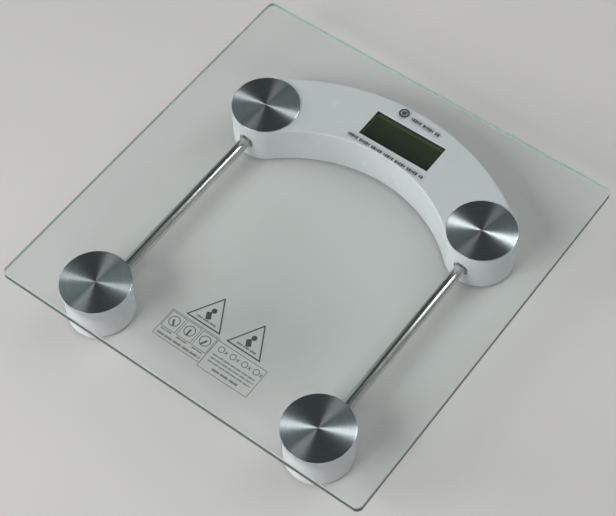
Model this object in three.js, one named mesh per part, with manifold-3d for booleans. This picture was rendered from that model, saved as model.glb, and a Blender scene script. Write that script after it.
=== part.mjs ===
// Digital bathroom scale: a square tempered-glass platform on four round pods. The two back pods
// are the ends of a crescent-shaped display housing, and two steel tubes carry the wires from the
// front pods to it. Each pod holds a load cell that stands on a sprung foot.
//
// Millimetres, +Z up. The origin is on the floor under the centre of the platform. +Y points to
// the display, away from the user, and +X to the user's right.

import * as THREE from 'three';
import { mergeVertices } from 'three/addons/utils/BufferGeometryUtils.js';
import Module from 'manifold-3d';

const wasm = await Module();
wasm.setup();

// ---------------------------------------------------------------- driving dimensions

const TOTAL_HEIGHT = 44;
const GAP = 0.3; // clearance between pieces that rest on or pass through each other
const ROUND_STEPS = 36; // sides of a large round piece
const TUBE_STEPS = 24; // sides of a tube or a bush
const SMALL_ROUND_STEPS = 12; // sides of a pin, a boss or a screw

const PLATE_SIDE = 330;
const PLATE_THICKNESS = 6;
const PLATE_CORNER_RADIUS = 5;
const PLATE_ARRIS = 0.7; // ground chamfer along every edge
const PLATE_BOTTOM = TOTAL_HEIGHT - PLATE_THICKNESS;

const DISC_RADIUS = 27.5;
const DISC_THICKNESS = 1;
const GLUE_THICKNESS = 0.1; // clear adhesive between disc and glass
const DISC_BOTTOM = PLATE_BOTTOM - GLUE_THICKNESS - DISC_THICKNESS;

const POD_X = 103.5;
const BACK_POD_Y = 78;
const FRONT_POD_Y = -129;
const FRONT_POD_RADIUS = 26.5;
const BACK_POD_RADIUS = 28;

const WALL = 2;
const SHELL_TOP = DISC_BOTTOM - GAP;
const SHELL_BOTTOM = 2.5;
const SHELL_CEILING = SHELL_TOP - WALL;

// The crescent's outer arc runs through its back point and its inner arc through its front point,
// and both arcs run smoothly into the round ends at the back pods.
const CRESCENT_BACK_Y = 144;
const CRESCENT_FRONT_Y = 91;
const ARC_STEPS = 26;
const END_STEPS = 12;

const BASE_BOTTOM = 3;
const BASE_TOP = 5;
const BASE_GAP = 0.4; // between a base cover's rim and the shell wall around it

const FOOT_RADIUS = 17;
const FOOT_BOTTOM = 1.5;
const FOOT_FLANGE_RADIUS = 18.6;
const FOOT_FLANGE_THICKNESS = 1;
const FOOT_STEM_RADIUS = 5;
const FOOT_HOLE_RADIUS = 17.5;
const FOOT_TRAVEL = 0.8;
const PAD_RADIUS = 15.5;

const SEAT_INNER_RADIUS = 19.2;
const SEAT_OUTER_RADIUS = 24.1;
const SEAT_TOP = 9.2;

const CELL_SIDE = 30;
const CELL_THICKNESS = 2;
const CELL_CORNER_CUT = 2;
const CELL_FRAME_WIDTH = 4;
const CELL_TONGUE_WIDTH = 10;
const CELL_SLOT_WIDTH = 2.5;
const CELL_BOTTOM = SEAT_TOP + GAP;
const CELL_TOP = CELL_BOTTOM + CELL_THICKNESS;

const CLAMP_SIDE = 33;
const CLAMP_OPENING = 23;
const CLAMP_THICKNESS = 2;
const CLAMP_CORNER_CUT = 1.5;

const TUBE_AXIS_Z = 19.5;
const TUBE_RADIUS = 4.5;
const TUBE_BORE_RADIUS = 3.7;
const TUBE_FRONT_Y = FRONT_POD_Y + 18;
const TUBE_BACK_Y = BACK_POD_Y - 20;
const BUSH_RADIUS = 6.3;
const BUSH_LENGTH = 8;
const BUSH_SET_BACK = 1.6; // how far its face lies behind the crown of the round wall

const SCREW_RING_RADIUS = 21.2; // from a pod's centre to its screws
const SCREW_HEAD_RADIUS = 2.2;
const SCREW_HEAD_THICKNESS = 1.6;
const SCREW_SHANK_RADIUS = 1.1;
const SCREW_LENGTH = 14;
const SCREW_CROSS_LENGTH = 2.6;
const SCREW_CROSS_WIDTH = 0.6;
const SCREW_CROSS_DEPTH = 0.8;
const BOSS_RADIUS = 3.8;
const BOSS_BORE_RADIUS = SCREW_SHANK_RADIUS + GAP;
const MIDDLE_SCREW_X = 62;
const MIDDLE_SCREW_Y = 106;

const WINDOW_LENGTH = 65;
const WINDOW_WIDTH = 26.5;
const WINDOW_X = 5; // the display sits a little right of the middle
const WINDOW_Y = 113;
const LCD_LENGTH = 70;
const LCD_WIDTH = 31;
const LCD_THICKNESS = 2.3;
const LCD_TOP = SHELL_CEILING - GAP;
const HOLDER_RIM = 3;

const BOARD_LENGTH = 92;
const BOARD_WIDTH = 40;
const BOARD_THICKNESS = 1.6;
const BOARD_Y = 114;
const BOARD_BOTTOM = 26;
const BOARD_TOP = BOARD_BOTTOM + BOARD_THICKNESS;
const BOARD_HOLE_INSET = 4;
const BOARD_HOLE_RADIUS = 1.6;
const POST_RADIUS = 3;

const STRIP_LENGTH = 60;
const STRIP_WIDTH = 2.2;
const CHIP_RADIUS = 7;
const CHIP_THICKNESS = 1.8;
const CHIP_X = 16;

const BUTTON_X = 34;
const BUTTON_Y = 116;
const BUTTON_SIDE = 8;
const BUTTON_STEM_RADIUS = 2;
const BUTTON_TRAVEL = 1;
const BUTTON_COLLAR_SIDE = 10;
const BUTTON_GUIDE_WALL = 1.5;
const BUTTON_GUIDE_HEIGHT = 4;
const SWITCH_SIDE = 6;
const SWITCH_THICKNESS = 3;
const SWITCH_BOTTOM = BOARD_BOTTOM - GAP - SWITCH_THICKNESS;

const BATTERY_X = -8;
const BATTERY_Y = 116;
const CAP_RADIUS = 13.7;
const CAP_BOTTOM = 2.9;
const CAP_TOP = 5.5;
const CAP_SLOT_LENGTH = 16;
const CAP_SLOT_WIDTH = 2;
const CAP_SLOT_DEPTH = 1;
const CAP_OPENING_RADIUS = 14.1;
const LUG_OUTER_RADIUS = 15.6;
const LUG_INNER_RADIUS = 11;
const LUG_HALF_ANGLE = Math.PI / 15;
const LUG_THICKNESS = 1.2;
const NOTCH_HALF_ANGLE = Math.PI / 12;
const CAP_TURN = Math.PI / 4;
const WELL_INNER_RADIUS = 16;
const WELL_OUTER_RADIUS = 17.6;
const WELL_TOP = 11.4;
const CELL_BATTERY_RADIUS = 10;
const CELL_BATTERY_THICKNESS = 3.2;
const CELL_BATTERY_BOTTOM = CAP_TOP + LUG_THICKNESS + GAP;
const CONTACT_THICKNESS = 0.4;
const TOP_CONTACT_WIDTH = 6;
const SIDE_CONTACT_WIDTH = 4;

const WIRE_RADIUS = 1;
const WIRE_SIDES = 8;

const SIDES = [['left', -1], ['right', 1]];

// ---------------------------------------------------------------- materials

const finish = (color, roughness, metalness = 0, more = {}) =>
  () => new THREE.MeshStandardMaterial({ color, roughness, metalness, ...more });

const CLEAR_GLASS = finish(0xb9d2c8, 0.05, 0, { transparent: true, opacity: 0.35 });
const SPUN_ALUMINIUM = finish(0x9aa39f, 0.3, 1);
const WHITE_PLASTIC = finish(0xe9edee, 0.3);
const POLISHED_STEEL = finish(0xb4b6b4, 0.15, 1);
const BARE_STEEL = finish(0x9c9ea0, 0.4, 1);
const GREY_PLASTIC = finish(0x8f8f8a, 0.55);
const BLACK_PLASTIC = finish(0x1c1c1c, 0.5);
const RUBBER = finish(0x2b2b2b, 0.9);
const LCD_GLASS = finish(0x2a3226, 0.12);
const BOARD_GREEN = finish(0x1f5a34, 0.5);
const BRASS = finish(0xc0a050, 0.35, 1);
const WIRE_GREY = finish(0xb8b8b4, 0.6);

// ---------------------------------------------------------------- geometry helpers

function toSolid(geometry) {
  const bare = geometry.clone();
  bare.deleteAttribute('normal');
  bare.deleteAttribute('uv');
  const merged = mergeVertices(bare, 1e-4);
  return new wasm.Manifold(new wasm.Mesh({
    numProp: 3,
    vertProperties: new Float32Array(merged.attributes.position.array),
    triVerts: new Uint32Array(merged.index.array),
  }));
}

function toGeometry(solid) {
  const mesh = solid.getMesh();
  const geometry = new THREE.BufferGeometry();
  geometry.setAttribute('position', new THREE.BufferAttribute(mesh.vertProperties, 3));
  geometry.setIndex(new THREE.BufferAttribute(mesh.triVerts, 1));
  geometry.computeVertexNormals();
  return geometry;
}

// Adds every geometry of `parts` together and takes every geometry of `tools` away.
function carve(parts, tools = []) {
  let solid = toSolid(parts[0]);
  for (const part of parts.slice(1)) solid = solid.add(toSolid(part));
  for (const tool of tools) solid = solid.subtract(toSolid(tool));
  return toGeometry(solid);
}

function prism(shape, bottom, top, curveSegments = ROUND_STEPS) {
  const geometry = new THREE.ExtrudeGeometry(shape, {
    depth: top - bottom, bevelEnabled: false, curveSegments,
  });
  return geometry.translate(0, 0, bottom);
}

function cylinder(radius, bottom, top, x = 0, y = 0, steps = ROUND_STEPS) {
  const geometry = new THREE.CylinderGeometry(radius, radius, top - bottom, steps);
  return geometry.rotateX(Math.PI / 2).translate(x, y, (bottom + top) / 2);
}

function cylinderAlongY(radius, front, back, x, z) {
  const geometry = new THREE.CylinderGeometry(radius, radius, back - front, TUBE_STEPS);
  return geometry.translate(x, (front + back) / 2, z);
}

function box(length, width, bottom, top, x = 0, y = 0) {
  return new THREE.BoxGeometry(length, width, top - bottom).translate(x, y, (bottom + top) / 2);
}

// A ring with a rectangular section, from `bottom` to `top` along +Z.
function ring(inner, outer, bottom, top, steps = ROUND_STEPS) {
  const profile = [[inner, bottom], [outer, bottom], [outer, top], [inner, top], [inner, bottom]];
  const points = profile.map(([r, z]) => new THREE.Vector2(r, z));
  return new THREE.LatheGeometry(points, steps).rotateX(Math.PI / 2);
}

// A square or rectangle whose corners are cut off at 45 degrees.
function cutRectangle(length, width, cut) {
  const x = length / 2;
  const y = width / 2;
  return new THREE.Shape([
    [x - cut, -y], [x, cut - y], [x, y - cut], [x - cut, y],
    [cut - x, y], [-x, y - cut], [-x, cut - y], [cut - x, -y],
  ].map(([px, py]) => new THREE.Vector2(px, py)));
}

function roundedSquare(side, radius) {
  const h = side / 2;
  const shape = new THREE.Shape();
  shape.moveTo(h - radius, -h);
  shape.absarc(h - radius, radius - h, radius, -Math.PI / 2, 0);
  shape.absarc(h - radius, h - radius, radius, 0, Math.PI / 2);
  shape.absarc(radius - h, h - radius, radius, Math.PI / 2, Math.PI);
  shape.absarc(radius - h, radius - h, radius, Math.PI, 1.5 * Math.PI);
  shape.closePath();
  return shape;
}

// A piece of a ring seen from above, centred on `angle`.
function sector(inner, outer, angle, halfAngle) {
  const shape = new THREE.Shape();
  shape.absarc(0, 0, outer, angle - halfAngle, angle + halfAngle, false);
  shape.absarc(0, 0, inner, angle + halfAngle, angle - halfAngle, true);
  shape.closePath();
  return shape;
}

// A round wire of WIRE_RADIUS along a smooth curve through the points.
function wire(points, steps) {
  const curve = new THREE.CatmullRomCurve3(points.map((p) => new THREE.Vector3(...p)));
  const section = new THREE.Shape();
  section.absarc(0, 0, WIRE_RADIUS, 0, 2 * Math.PI);
  return new THREE.ExtrudeGeometry(section, {
    steps, extrudePath: curve, curveSegments: WIRE_SIDES / 2, bevelEnabled: false,
  });
}

// ---------------------------------------------------------------- the crescent's outline

// The arc's centre lies on x = 0. Its radius follows from the point that it passes through and
// from touching the round end: from outside for the outer arc, from inside for the inner arc.
function tangentArc(throughY, side) {
  const drop = throughY - BACK_POD_Y;
  const reach = BACK_POD_RADIUS * side;
  const radius = (POD_X ** 2 + drop ** 2 - reach ** 2) / (2 * (drop - reach));
  return { radius, centreY: throughY - radius };
}

const OUTER_ARC = tangentArc(CRESCENT_BACK_Y, 1);
const INNER_ARC = tangentArc(CRESCENT_FRONT_Y, -1);

// The angle, at the arc's centre, at which it meets the right round end.
const meetingAngle = (arc) => Math.atan2(BACK_POD_Y - arc.centreY, POD_X);

// The crescent's outline, moved inwards by `inset`.
function crescent(inset) {
  const outerAngle = meetingAngle(OUTER_ARC);
  const innerAngle = meetingAngle(INNER_ARC);
  const points = [];
  const arc = (x, y, radius, from, to, steps) => {
    for (let i = 0; i < steps; i += 1) {
      const angle = from + ((to - from) * i) / steps;
      points.push(new THREE.Vector2(x + radius * Math.cos(angle), y + radius * Math.sin(angle)));
    }
  };
  const outer = OUTER_ARC.radius - inset;
  const inner = INNER_ARC.radius + inset;
  const end = BACK_POD_RADIUS - inset;
  arc(0, OUTER_ARC.centreY, outer, outerAngle, Math.PI - outerAngle, ARC_STEPS);
  arc(-POD_X, BACK_POD_Y, end, Math.PI - outerAngle, 2 * Math.PI - innerAngle, END_STEPS);
  arc(0, INNER_ARC.centreY, inner, Math.PI - innerAngle, innerAngle, ARC_STEPS);
  arc(POD_X, BACK_POD_Y, end, innerAngle - Math.PI, outerAngle, END_STEPS);
  return new THREE.Shape(points);
}

// ---------------------------------------------------------------- platform and discs

function glassPlatform() {
  const shape = roundedSquare(PLATE_SIDE - 2 * PLATE_ARRIS, PLATE_CORNER_RADIUS - PLATE_ARRIS);
  const geometry = new THREE.ExtrudeGeometry(shape, {
    depth: PLATE_THICKNESS - 2 * PLATE_ARRIS,
    bevelThickness: PLATE_ARRIS, bevelSize: PLATE_ARRIS, bevelSegments: 1, curveSegments: 6,
  });
  return geometry.translate(0, 0, PLATE_BOTTOM + PLATE_ARRIS);
}

const coverDisc = () => cylinder(DISC_RADIUS, DISC_BOTTOM, DISC_BOTTOM + DISC_THICKNESS);

// ---------------------------------------------------------------- load cell and foot of a pod

// A stamped steel square. A U-shaped slot frees the tongue that the foot pushes up.
function loadCell() {
  const shape = cutRectangle(CELL_SIDE, CELL_SIDE, CELL_CORNER_CUT);
  const x = CELL_TONGUE_WIDTH / 2;
  const wide = x + CELL_SLOT_WIDTH;
  const y = CELL_SIDE / 2 - CELL_FRAME_WIDTH;
  shape.holes.push(new THREE.Path([
    [-wide, -y], [wide, -y], [wide, y], [x, y],
    [x, CELL_SLOT_WIDTH - y], [-x, CELL_SLOT_WIDTH - y], [-x, y], [-wide, y],
  ].map(([px, py]) => new THREE.Vector2(px, py))));
  return prism(shape, CELL_BOTTOM, CELL_TOP);
}

// The plastic frame that holds the load cell down on its seat.
function loadCellClamp() {
  const shape = cutRectangle(CLAMP_SIDE, CLAMP_SIDE, CLAMP_CORNER_CUT);
  shape.holes.push(cutRectangle(CLAMP_OPENING, CLAMP_OPENING, CLAMP_CORNER_CUT));
  return prism(shape, CELL_TOP + GAP, CELL_TOP + GAP + CLAMP_THICKNESS);
}

// The foot hangs in its hole on a flange. Its stem stops one travel short of the load cell.
function foot() {
  const flangeBottom = BASE_TOP + GAP;
  const flangeTop = flangeBottom + FOOT_FLANGE_THICKNESS;
  const stemTop = CELL_BOTTOM - FOOT_TRAVEL - GAP;
  const profile = [
    [0, FOOT_BOTTOM], [FOOT_RADIUS, FOOT_BOTTOM], [FOOT_RADIUS, flangeBottom],
    [FOOT_FLANGE_RADIUS, flangeBottom], [FOOT_FLANGE_RADIUS, flangeTop],
    [FOOT_STEM_RADIUS, flangeTop], [FOOT_STEM_RADIUS, stemTop], [0, stemTop],
  ].map(([r, z]) => new THREE.Vector2(r, z));
  return new THREE.LatheGeometry(profile, ROUND_STEPS).rotateX(Math.PI / 2);
}

const footPad = () => cylinder(PAD_RADIUS, 0, FOOT_BOTTOM);

// ---------------------------------------------------------------- screws, bosses and seats

function screw() {
  const headTop = BASE_BOTTOM + SCREW_HEAD_THICKNESS;
  const tip = headTop + SCREW_LENGTH;
  const profile = [
    [0, BASE_BOTTOM], [SCREW_HEAD_RADIUS, BASE_BOTTOM], [SCREW_HEAD_RADIUS, headTop],
    [SCREW_SHANK_RADIUS, headTop], [SCREW_SHANK_RADIUS, tip - 1], [0, tip],
  ].map(([r, z]) => new THREE.Vector2(r, z));
  const body = new THREE.LatheGeometry(profile, SMALL_ROUND_STEPS).rotateX(Math.PI / 2);
  const floor = BASE_BOTTOM + SCREW_CROSS_DEPTH;
  return carve([body], [
    box(SCREW_CROSS_LENGTH, SCREW_CROSS_WIDTH, 0, floor),
    box(SCREW_CROSS_WIDTH, SCREW_CROSS_LENGTH, 0, floor),
  ]);
}

// The hole and the countersink that a screw takes in a base cover.
function screwHole(x, y) {
  const seat = BASE_BOTTOM + SCREW_HEAD_THICKNESS + GAP;
  return [
    cylinder(BOSS_BORE_RADIUS, 0, SEAT_TOP + 1, x, y, SMALL_ROUND_STEPS),
    cylinder(SCREW_HEAD_RADIUS + GAP, 0, seat, x, y, SMALL_ROUND_STEPS),
  ];
}

const boss = (x, y, bottom) => cylinder(BOSS_RADIUS, bottom, SHELL_TOP - 1, x, y, SMALL_ROUND_STEPS);

function bossBore(x, y, bottom) {
  const depth = BASE_BOTTOM + SCREW_HEAD_THICKNESS + SCREW_LENGTH + 2;
  return cylinder(BOSS_BORE_RADIUS, bottom - 1, depth, x, y, SMALL_ROUND_STEPS);
}

const seatRing = () => ring(SEAT_INNER_RADIUS, SEAT_OUTER_RADIUS, BASE_TOP - 1, SEAT_TOP);

// ---------------------------------------------------------------- front pods

function frontPodShell() {
  const outer = cylinder(FRONT_POD_RADIUS, SHELL_BOTTOM, SHELL_TOP);
  const hollow = cylinder(FRONT_POD_RADIUS - WALL, SHELL_BOTTOM - 1, SHELL_CEILING);
  const bossBottom = SEAT_TOP + GAP;
  const bossPlaces = [-SCREW_RING_RADIUS, SCREW_RING_RADIUS];
  const tubeHole = cylinderAlongY(
    BUSH_RADIUS + GAP, FRONT_POD_RADIUS / 2, FRONT_POD_RADIUS + 2, 0, TUBE_AXIS_Z,
  );
  return carve(
    [carve([outer], [hollow]), ...bossPlaces.map((x) => boss(x, 0, bossBottom))],
    [tubeHole, ...bossPlaces.map((x) => bossBore(x, 0, bossBottom))],
  );
}

function frontPodBase() {
  const rim = FRONT_POD_RADIUS - WALL - BASE_GAP;
  const screws = [-SCREW_RING_RADIUS, SCREW_RING_RADIUS].flatMap((x) => screwHole(x, 0));
  const plate = cylinder(rim, BASE_BOTTOM, BASE_TOP);
  const opening = cylinder(FOOT_HOLE_RADIUS, 0, BASE_TOP + 1);
  return carve([plate, seatRing()], [opening, ...screws]);
}

// ---------------------------------------------------------------- display housing

function displayHousing() {
  const bossBottom = BASE_TOP + GAP;
  const endBossBottom = SEAT_TOP + GAP;
  const bosses = [];
  const window = box(WINDOW_LENGTH, WINDOW_WIDTH, SHELL_CEILING - 1, SHELL_TOP + 1, WINDOW_X, WINDOW_Y);
  const tools = [window];
  for (const [, side] of SIDES) {
    const endX = side * (POD_X + SCREW_RING_RADIUS);
    const middleX = side * MIDDLE_SCREW_X;
    bosses.push(boss(endX, BACK_POD_Y, endBossBottom), boss(middleX, MIDDLE_SCREW_Y, bossBottom));
    tools.push(bossBore(endX, BACK_POD_Y, endBossBottom));
    tools.push(bossBore(middleX, MIDDLE_SCREW_Y, bossBottom));
    const crown = BACK_POD_Y - BACK_POD_RADIUS;
    tools.push(cylinderAlongY(BUSH_RADIUS + GAP, crown - 2, crown + 12, side * POD_X, TUBE_AXIS_Z));
  }
  const shell = carve(
    [prism(crescent(0), SHELL_BOTTOM, SHELL_TOP)],
    [prism(crescent(WALL), SHELL_BOTTOM - 1, SHELL_CEILING)],
  );
  return carve([shell, ...bosses], tools);
}

// The bottom cover closes the crescent. It carries the two back load-cell seats, the battery
// well, the posts under the circuit board and the guide of the unit button.
function housingBase() {
  const plate = prism(crescent(WALL + BASE_GAP), BASE_BOTTOM, BASE_TOP);
  const parts = [plate];
  const tools = [];
  for (const [, side] of SIDES) {
    const x = side * POD_X;
    parts.push(seatRing().translate(x, BACK_POD_Y, 0));
    tools.push(cylinder(FOOT_HOLE_RADIUS, 0, BASE_TOP + 1, x, BACK_POD_Y));
    tools.push(...screwHole(x + side * SCREW_RING_RADIUS, BACK_POD_Y));
    tools.push(...screwHole(side * MIDDLE_SCREW_X, MIDDLE_SCREW_Y));
    for (const back of [-1, 1]) {
      const postX = side * (BOARD_LENGTH / 2 - BOARD_HOLE_INSET);
      const postY = BOARD_Y + back * (BOARD_WIDTH / 2 - BOARD_HOLE_INSET);
      parts.push(cylinder(POST_RADIUS, BASE_TOP - 1, BOARD_BOTTOM - GAP, postX, postY, SMALL_ROUND_STEPS));
    }
  }
  parts.push(ring(WELL_INNER_RADIUS, WELL_OUTER_RADIUS, BASE_TOP - 1, WELL_TOP).translate(BATTERY_X, BATTERY_Y, 0));
  tools.push(cylinder(CAP_OPENING_RADIUS, 0, BASE_TOP + 1, BATTERY_X, BATTERY_Y));
  for (const turn of [CAP_TURN, CAP_TURN + Math.PI]) {
    const notch = sector(LUG_INNER_RADIUS, LUG_OUTER_RADIUS + GAP, turn, NOTCH_HALF_ANGLE);
    tools.push(prism(notch, 0, BASE_TOP + 0.5, 8).translate(BATTERY_X, BATTERY_Y, 0));
  }
  const key = BUTTON_SIDE + 2 * GAP;
  const collar = BUTTON_COLLAR_SIDE + 2 * GAP;
  const guide = collar + 2 * BUTTON_GUIDE_WALL;
  const guideTop = BASE_TOP + BUTTON_GUIDE_HEIGHT;
  parts.push(box(guide, guide, BASE_TOP - 1, guideTop, BUTTON_X, BUTTON_Y));
  tools.push(box(key, key, 0, guideTop + 1, BUTTON_X, BUTTON_Y));
  tools.push(box(collar, collar, BASE_TOP, guideTop + 1, BUTTON_X, BUTTON_Y));
  return carve(parts, tools);
}

// ---------------------------------------------------------------- tubes and their bushes

function steelTube() {
  const length = TUBE_BACK_Y - TUBE_FRONT_Y;
  return ring(TUBE_BORE_RADIUS, TUBE_RADIUS, -length / 2, length / 2, TUBE_STEPS).rotateX(Math.PI / 2);
}

const tubeBush = () =>
  ring(TUBE_RADIUS + GAP, BUSH_RADIUS, -BUSH_LENGTH / 2, BUSH_LENGTH / 2, TUBE_STEPS).rotateX(Math.PI / 2);

// ---------------------------------------------------------------- display and electronics

const lcdPanel = () => box(LCD_LENGTH, LCD_WIDTH, LCD_TOP - LCD_THICKNESS, LCD_TOP);

// The frame that keeps the LCD square over its contact strips.
function lcdHolder() {
  const length = LCD_LENGTH + 2 * GAP;
  const width = LCD_WIDTH + 2 * GAP;
  const shape = cutRectangle(length + 2 * HOLDER_RIM, width + 2 * HOLDER_RIM, 1);
  shape.holes.push(new THREE.Path([
    [-length / 2, -width / 2], [length / 2, -width / 2], [length / 2, width / 2], [-length / 2, width / 2],
  ].map(([x, y]) => new THREE.Vector2(x, y))));
  return prism(shape, BOARD_TOP + GAP, LCD_TOP);
}

const contactStrip = () =>
  box(STRIP_LENGTH, STRIP_WIDTH, BOARD_TOP + GAP, LCD_TOP - LCD_THICKNESS - GAP);

function circuitBoard() {
  const shape = cutRectangle(BOARD_LENGTH, BOARD_WIDTH, 1);
  for (const sx of [-1, 1]) {
    for (const sy of [-1, 1]) {
      const hole = new THREE.Path();
      const x = sx * (BOARD_LENGTH / 2 - BOARD_HOLE_INSET);
      const y = sy * (BOARD_WIDTH / 2 - BOARD_HOLE_INSET);
      hole.absarc(x, y, BOARD_HOLE_RADIUS, 0, 2 * Math.PI);
      shape.holes.push(hole);
    }
  }
  return prism(shape, BOARD_BOTTOM, BOARD_TOP, 12);
}

// The drop of resin over the chip on the underside of the board.
function controllerChip() {
  const top = BOARD_BOTTOM - GAP;
  const profile = [
    [0, top - CHIP_THICKNESS], [CHIP_RADIUS * 0.55, top - CHIP_THICKNESS * 0.85],
    [CHIP_RADIUS * 0.9, top - CHIP_THICKNESS * 0.4], [CHIP_RADIUS, top], [0, top],
  ].map(([r, z]) => new THREE.Vector2(r, z));
  return new THREE.LatheGeometry(profile, 24).rotateX(Math.PI / 2);
}

const unitSwitch = () =>
  box(SWITCH_SIDE, SWITCH_SIDE, SWITCH_BOTTOM, SWITCH_BOTTOM + SWITCH_THICKNESS);

// The key under the scale, held by a collar inside the cover, with a stem up to the switch.
function unitButton() {
  const collarBottom = BASE_TOP + GAP;
  const stemTop = SWITCH_BOTTOM - BUTTON_TRAVEL - GAP;
  return carve([
    box(BUTTON_SIDE, BUTTON_SIDE, BASE_BOTTOM, collarBottom + 0.5),
    box(BUTTON_COLLAR_SIDE, BUTTON_COLLAR_SIDE, collarBottom, collarBottom + 1.2),
    cylinder(BUTTON_STEM_RADIUS, collarBottom + 1, stemTop, 0, 0, SMALL_ROUND_STEPS),
  ]);
}

// ---------------------------------------------------------------- battery

// A quarter-turn cap with a coin slot. Two lugs hook over the edge of the opening.
function batteryCap() {
  const cap = cylinder(CAP_RADIUS, CAP_BOTTOM, CAP_TOP);
  const lugs = [0, Math.PI].map((turn) => prism(
    sector(LUG_INNER_RADIUS, LUG_OUTER_RADIUS, turn, LUG_HALF_ANGLE), CAP_TOP - 0.1, CAP_TOP + LUG_THICKNESS, 6,
  ));
  const slot = box(CAP_SLOT_LENGTH, CAP_SLOT_WIDTH, 0, CAP_BOTTOM + CAP_SLOT_DEPTH);
  return carve([cap, ...lugs], [slot]);
}

const coinCell = () => cylinder(
  CELL_BATTERY_RADIUS, CELL_BATTERY_BOTTOM, CELL_BATTERY_BOTTOM + CELL_BATTERY_THICKNESS,
);

// A strip of spring metal, bent in the x-z plane along `line`.
function bentStrip(line, width) {
  const t = CONTACT_THICKNESS;
  const upper = line.map(([x, z]) => new THREE.Vector2(x, z + t));
  const lower = line.map(([x, z]) => new THREE.Vector2(x, z)).reverse();
  const geometry = new THREE.ExtrudeGeometry(new THREE.Shape([...lower, ...upper]), {
    depth: width, bevelEnabled: false,
  });
  return geometry.translate(0, 0, -width / 2).rotateX(Math.PI / 2);
}

function topContact() {
  const rim = WELL_TOP + GAP;
  const low = CELL_BATTERY_BOTTOM + CELL_BATTERY_THICKNESS + GAP;
  return bentStrip([
    [-WELL_OUTER_RADIUS, rim], [-8, rim], [-4, low], [4, low], [8, rim], [WELL_OUTER_RADIUS, rim],
  ], TOP_CONTACT_WIDTH);
}

// The contact that presses on the rim of the cell, hooked over the edge of the well.
function sideContact() {
  const inner = CELL_BATTERY_RADIUS + GAP;
  const rim = WELL_TOP + GAP;
  const thick = CONTACT_THICKNESS;
  const shape = new THREE.Shape([
    [inner, CELL_BATTERY_BOTTOM], [inner + thick, CELL_BATTERY_BOTTOM], [inner + thick, rim],
    [WELL_OUTER_RADIUS, rim], [WELL_OUTER_RADIUS, rim + thick], [inner, rim + thick],
  ].map(([x, z]) => new THREE.Vector2(x, z)));
  const geometry = new THREE.ExtrudeGeometry(shape, { depth: SIDE_CONTACT_WIDTH, bevelEnabled: false });
  return geometry.translate(0, 0, -SIDE_CONTACT_WIDTH / 2).rotateX(Math.PI / 2).rotateZ(Math.PI / 2);
}

// ---------------------------------------------------------------- wires

const WIRE_END_Z = BOARD_BOTTOM - GAP - WIRE_RADIUS;
const WIRE_START_Z = CELL_TOP + GAP + CLAMP_THICKNESS + GAP + WIRE_RADIUS;

// From the front load cell through the tube and round the crescent to the circuit board.
function frontLoom(side) {
  const points = [
    [POD_X - 2, FRONT_POD_Y + 2, WIRE_START_Z], [POD_X - 2.3, FRONT_POD_Y + 9, WIRE_START_Z + 1.5],
    [POD_X, TUBE_FRONT_Y - 2, TUBE_AXIS_Z], [POD_X, TUBE_FRONT_Y + 20, TUBE_AXIS_Z],
    [POD_X, 0, TUBE_AXIS_Z], [POD_X, TUBE_BACK_Y - 10, TUBE_AXIS_Z],
    [POD_X, TUBE_BACK_Y + 6, TUBE_AXIS_Z], [96, 84, 19.5], [81, 102, 19], [62, 115, 19],
    [50, 117, 20], [43, 115, WIRE_END_Z - 1], [38, 114, WIRE_END_Z],
  ];
  return wire(points.map(([x, y, z]) => [side * x, y, z]), 40);
}

// From the back load cell to the circuit board.
function backLead(side) {
  const points = [
    [POD_X - 3, BACK_POD_Y + 3, WIRE_START_Z], [96, 92, WIRE_START_Z], [80, 108, 14], [64, 117, 14],
    [50, 111, 17], [43, 107, WIRE_END_Z - 1], [38, 106, WIRE_END_Z],
  ];
  return wire(points.map(([x, y, z]) => [side * x, y, z]), 18);
}

// From the battery contact up to the circuit board.
function batteryLead() {
  const start = WELL_TOP + GAP + CONTACT_THICKNESS + GAP + WIRE_RADIUS;
  return wire([
    [BATTERY_X - 14, BATTERY_Y, start], [BATTERY_X - 18, BATTERY_Y + 2, start + 2],
    [BATTERY_X - 19, BATTERY_Y + 3, start + 6], [BATTERY_X - 16, BATTERY_Y + 3, WIRE_END_Z - 0.5],
    [BATTERY_X - 12, BATTERY_Y + 3, WIRE_END_Z],
  ], 12);
}

// ---------------------------------------------------------------- the assembly

const scale = new THREE.Group();

function place(parent, name, geometry, material, x = 0, y = 0, z = 0) {
  const mesh = new THREE.Mesh(geometry, material());
  mesh.name = name;
  mesh.position.set(x, y, z);
  parent.add(mesh);
  return mesh;
}

// What every pod holds, whether it stands alone or ends the crescent.
function addPodInside(corner, x, y) {
  const pod = new THREE.Group();
  pod.position.set(x, y, 0);
  place(pod, `cover_disc_${corner}`, coverDisc(), SPUN_ALUMINIUM);
  place(pod, `load_cell_${corner}`, loadCell(), BARE_STEEL);
  place(pod, `load_cell_clamp_${corner}`, loadCellClamp(), BLACK_PLASTIC);
  place(pod, `foot_${corner}`, foot(), WHITE_PLASTIC);
  place(pod, `foot_pad_${corner}`, footPad(), RUBBER);
  scale.add(pod);
  return pod;
}

place(scale, 'glass_platform', glassPlatform(), CLEAR_GLASS);

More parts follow.
